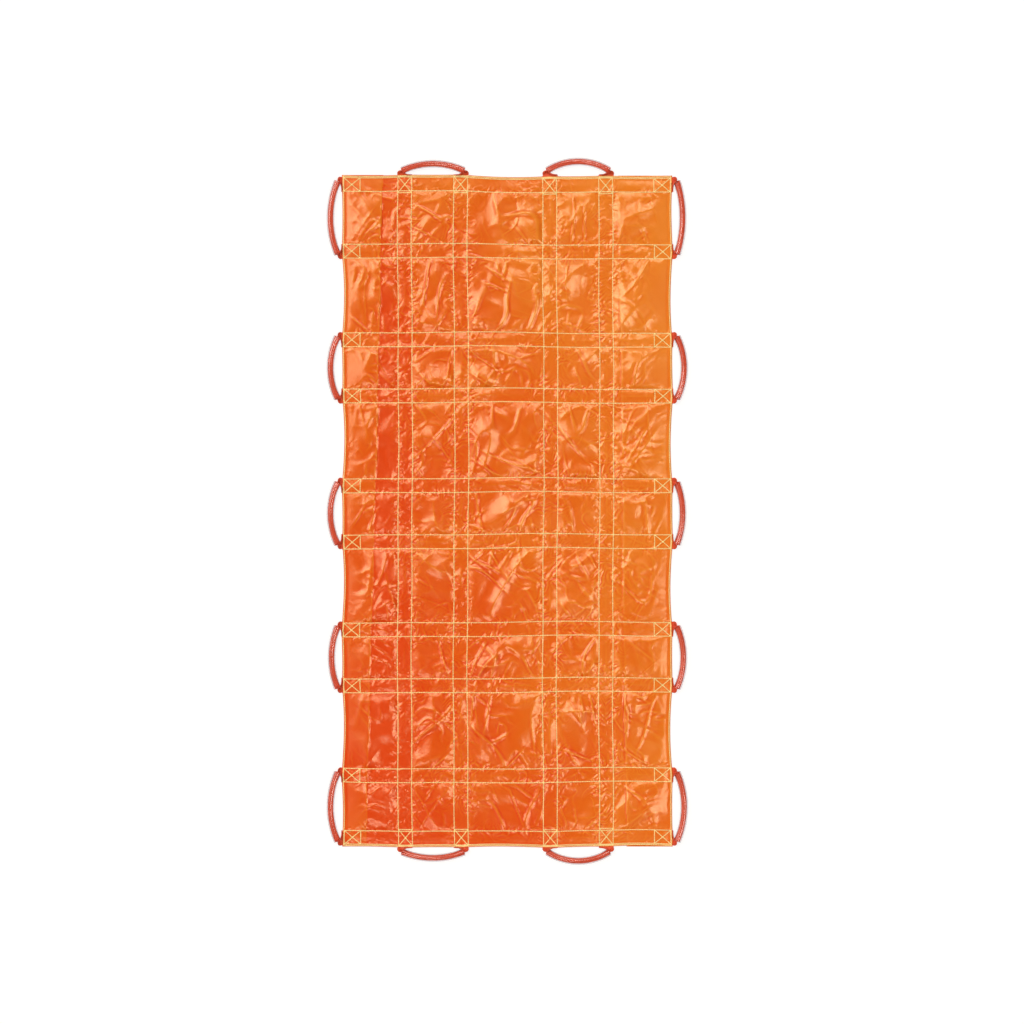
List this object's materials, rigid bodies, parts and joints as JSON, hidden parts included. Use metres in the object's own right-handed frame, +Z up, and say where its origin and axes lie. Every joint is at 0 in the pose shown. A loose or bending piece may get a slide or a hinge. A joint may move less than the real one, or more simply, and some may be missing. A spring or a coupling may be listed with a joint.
{
  "type": "rescue carrying sheet",
  "caption": "Flat rectangular vinyl carrying sheet with webbing belts sewn beneath it and clear tube-gripped webbing handles that fold up along every edge.",
  "frame": {"origin": "on the ground under the middle of the sheet, which lies open and face up with its handles folded out flat", "axes": "+X to the sheet's right side, +Y to its head end, +Z up from the ground"},
  "size_m": [0.975, 1.89, 0.02],
  "materials": {
    "vinyl": "glossy vinyl-coated cloth, softly creased",
    "webbing": "woven polyester webbing",
    "thread": "heavy sewing thread",
    "grip": "clear soft tube, smooth"
  },
  "bodies": {
    "carrying_sheet": {"sheet": "vinyl", "hem_seam": "thread", "cross_belt_1": "webbing", "cross_belt_2": "webbing", "cross_belt_3": "webbing", "cross_belt_4": "webbing", "cross_belt_5": "webbing", "cross_belt_6": "webbing", "cross_belt_7": "webbing", "cross_belt_8": "webbing", "cross_belt_9": "webbing", "cross_belt_10": "webbing", "long_belt_1": "webbing", "long_belt_2": "webbing", "long_belt_3": "webbing", "long_belt_4": "webbing", "cross_seam_1": "thread", "cross_seam_2": "thread", "cross_seam_3": "thread", "cross_seam_4": "thread", "cross_seam_5": "thread", "cross_seam_6": "thread", "cross_seam_7": "thread", "cross_seam_8": "thread", "cross_seam_9": "thread", "cross_seam_10": "thread", "long_seam_1": "thread", "long_seam_2": "thread", "long_seam_3": "thread", "long_seam_4": "thread"},
    "left_handle_1": {"left_loop_1": "webbing", "left_grip_1": "grip"},
    "left_handle_2": {"left_loop_2": "webbing", "left_grip_2": "grip"},
    "left_handle_3": {"left_loop_3": "webbing", "left_grip_3": "grip"},
    "left_handle_4": {"left_loop_4": "webbing", "left_grip_4": "grip"},
    "left_handle_5": {"left_loop_5": "webbing", "left_grip_5": "grip"},
    "right_handle_1": {"right_loop_1": "webbing", "right_grip_1": "grip"},
    "right_handle_2": {"right_loop_2": "webbing", "right_grip_2": "grip"},
    "right_handle_3": {"right_loop_3": "webbing", "right_grip_3": "grip"},
    "right_handle_4": {"right_loop_4": "webbing", "right_grip_4": "grip"},
    "right_handle_5": {"right_loop_5": "webbing", "right_grip_5": "grip"},
    "head_handle_1": {"head_loop_1": "webbing", "head_grip_1": "grip"},
    "head_handle_2": {"head_loop_2": "webbing", "head_grip_2": "grip"},
    "foot_handle_1": {"foot_loop_1": "webbing", "foot_grip_1": "grip"},
    "foot_handle_2": {"foot_loop_2": "webbing", "foot_grip_2": "grip"}
  },
  "joints": [
    {"name": "left_handle_1_swing", "type": "hinge", "parent": "carrying_sheet", "child": "left_handle_1", "pos_m": [-0.4425, 0.7855, 0.0064], "axis": [0, 1, 0], "range_deg": [0, 110]},
    {"name": "left_handle_2_swing", "type": "hinge", "parent": "carrying_sheet", "child": "left_handle_2", "pos_m": [-0.4425, 0.384, 0.0064], "axis": [0, 1, 0], "range_deg": [0, 110]},
    {"name": "left_handle_3_swing", "type": "hinge", "parent": "carrying_sheet", "child": "left_handle_3", "pos_m": [-0.4425, -0.006, 0.0064], "axis": [0, 1, 0], "range_deg": [0, 110]},
    {"name": "left_handle_4_swing", "type": "hinge", "parent": "carrying_sheet", "child": "left_handle_4", "pos_m": [-0.4425, -0.391, 0.0064], "axis": [0, 1, 0], "range_deg": [0, 110]},
    {"name": "left_handle_5_swing", "type": "hinge", "parent": "carrying_sheet", "child": "left_handle_5", "pos_m": [-0.4425, -0.791, 0.0064], "axis": [0, 1, 0], "range_deg": [0, 110]},
    {"name": "right_handle_1_swing", "type": "hinge", "parent": "carrying_sheet", "child": "right_handle_1", "pos_m": [0.4425, 0.7855, 0.0064], "axis": [0, -1, 0], "range_deg": [0, 110]},
    {"name": "right_handle_2_swing", "type": "hinge", "parent": "carrying_sheet", "child": "right_handle_2", "pos_m": [0.4425, 0.384, 0.0064], "axis": [0, -1, 0], "range_deg": [0, 110]},
    {"name": "right_handle_3_swing", "type": "hinge", "parent": "carrying_sheet", "child": "right_handle_3", "pos_m": [0.4425, -0.006, 0.0064], "axis": [0, -1, 0], "range_deg": [0, 110]},
    {"name": "right_handle_4_swing", "type": "hinge", "parent": "carrying_sheet", "child": "right_handle_4", "pos_m": [0.4425, -0.391, 0.0064], "axis": [0, -1, 0], "range_deg": [0, 110]},
    {"name": "right_handle_5_swing", "type": "hinge", "parent": "carrying_sheet", "child": "right_handle_5", "pos_m": [0.4425, -0.791, 0.0064], "axis": [0, -1, 0], "range_deg": [0, 110]},
    {"name": "head_handle_1_swing", "type": "hinge", "parent": "carrying_sheet", "child": "head_handle_1", "pos_m": [-0.199, 0.9, 0.0064], "axis": [1, 0, 0], "range_deg": [0, 110]},
    {"name": "head_handle_2_swing", "type": "hinge", "parent": "carrying_sheet", "child": "head_handle_2", "pos_m": [0.19, 0.9, 0.0064], "axis": [1, 0, 0], "range_deg": [0, 110]},
    {"name": "foot_handle_1_swing", "type": "hinge", "parent": "carrying_sheet", "child": "foot_handle_1", "pos_m": [-0.199, -0.9, 0.0064], "axis": [-1, 0, 0], "range_deg": [0, 110]},
    {"name": "foot_handle_2_swing", "type": "hinge", "parent": "carrying_sheet", "child": "foot_handle_2", "pos_m": [0.19, -0.9, 0.0064], "axis": [-1, 0, 0], "range_deg": [0, 110]}
  ]
}
